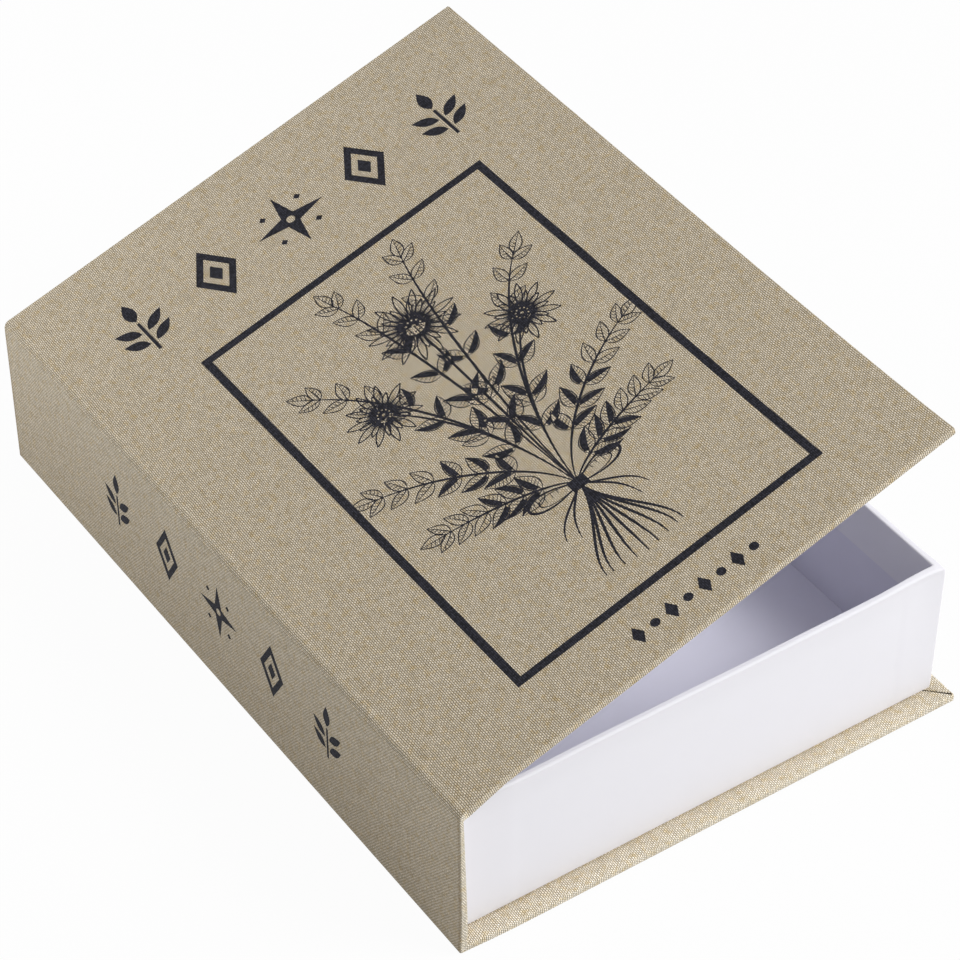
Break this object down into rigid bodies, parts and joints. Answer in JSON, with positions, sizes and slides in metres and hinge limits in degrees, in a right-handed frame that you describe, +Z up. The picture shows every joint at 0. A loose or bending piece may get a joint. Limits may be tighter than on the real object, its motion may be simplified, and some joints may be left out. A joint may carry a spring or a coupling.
{
  "type": "book storage box",
  "caption": "Book-shaped storage box: a linen-look cloth case with a cloth-hinged lid, round a tray wrapped in white paper.",
  "frame": {"origin": "middle of the base's underside", "axes": "+X from the spine to the fore-edge, +Y from the tail to the head along the spine, +Z up from the base to the lid"},
  "size_m": [0.18, 0.26, 0.1118],
  "materials": {
    "book_cloth": "plain-woven linen-look book cloth, matt, heathered tan",
    "greyboard": "plain grey board, matt",
    "wrap_paper": "smooth white coated paper, soft sheen",
    "lining_paper": "uncoated white paper, matt",
    "stay_tape": "gummed kraft tape, matt"
  },
  "bodies": {
    "case": {"base_cloth": "book_cloth", "base_board": "greyboard", "spine_cloth": "book_cloth", "spine_board": "greyboard", "spine_lining": "lining_paper", "hinge_cloth": "book_cloth", "hinge_lining": "lining_paper", "tray_floor_board": "greyboard", "tray_wall_spine": "greyboard", "tray_wall_fore": "greyboard", "tray_wall_tail": "greyboard", "tray_wall_head": "greyboard", "corner_stay_spine_tail": "stay_tape", "corner_stay_fore_tail": "stay_tape", "corner_stay_fore_head": "stay_tape", "corner_stay_spine_head": "stay_tape", "tray_wrap": "wrap_paper", "tray_wall_lining": "lining_paper", "tray_floor_lining": "lining_paper"},
    "lid": {"lid_cloth": "book_cloth", "lid_board": "greyboard", "lid_lining": "lining_paper"}
  },
  "joints": [
    {"name": "lid_hinge", "type": "hinge", "parent": "case", "child": "lid", "pos_m": [-0.0898, 0, 0.0532], "axis": [0, -1, 0], "range_deg": [-18.1, 176.9], "deforming": ["hinge_cloth", "hinge_lining"]}
  ]
}
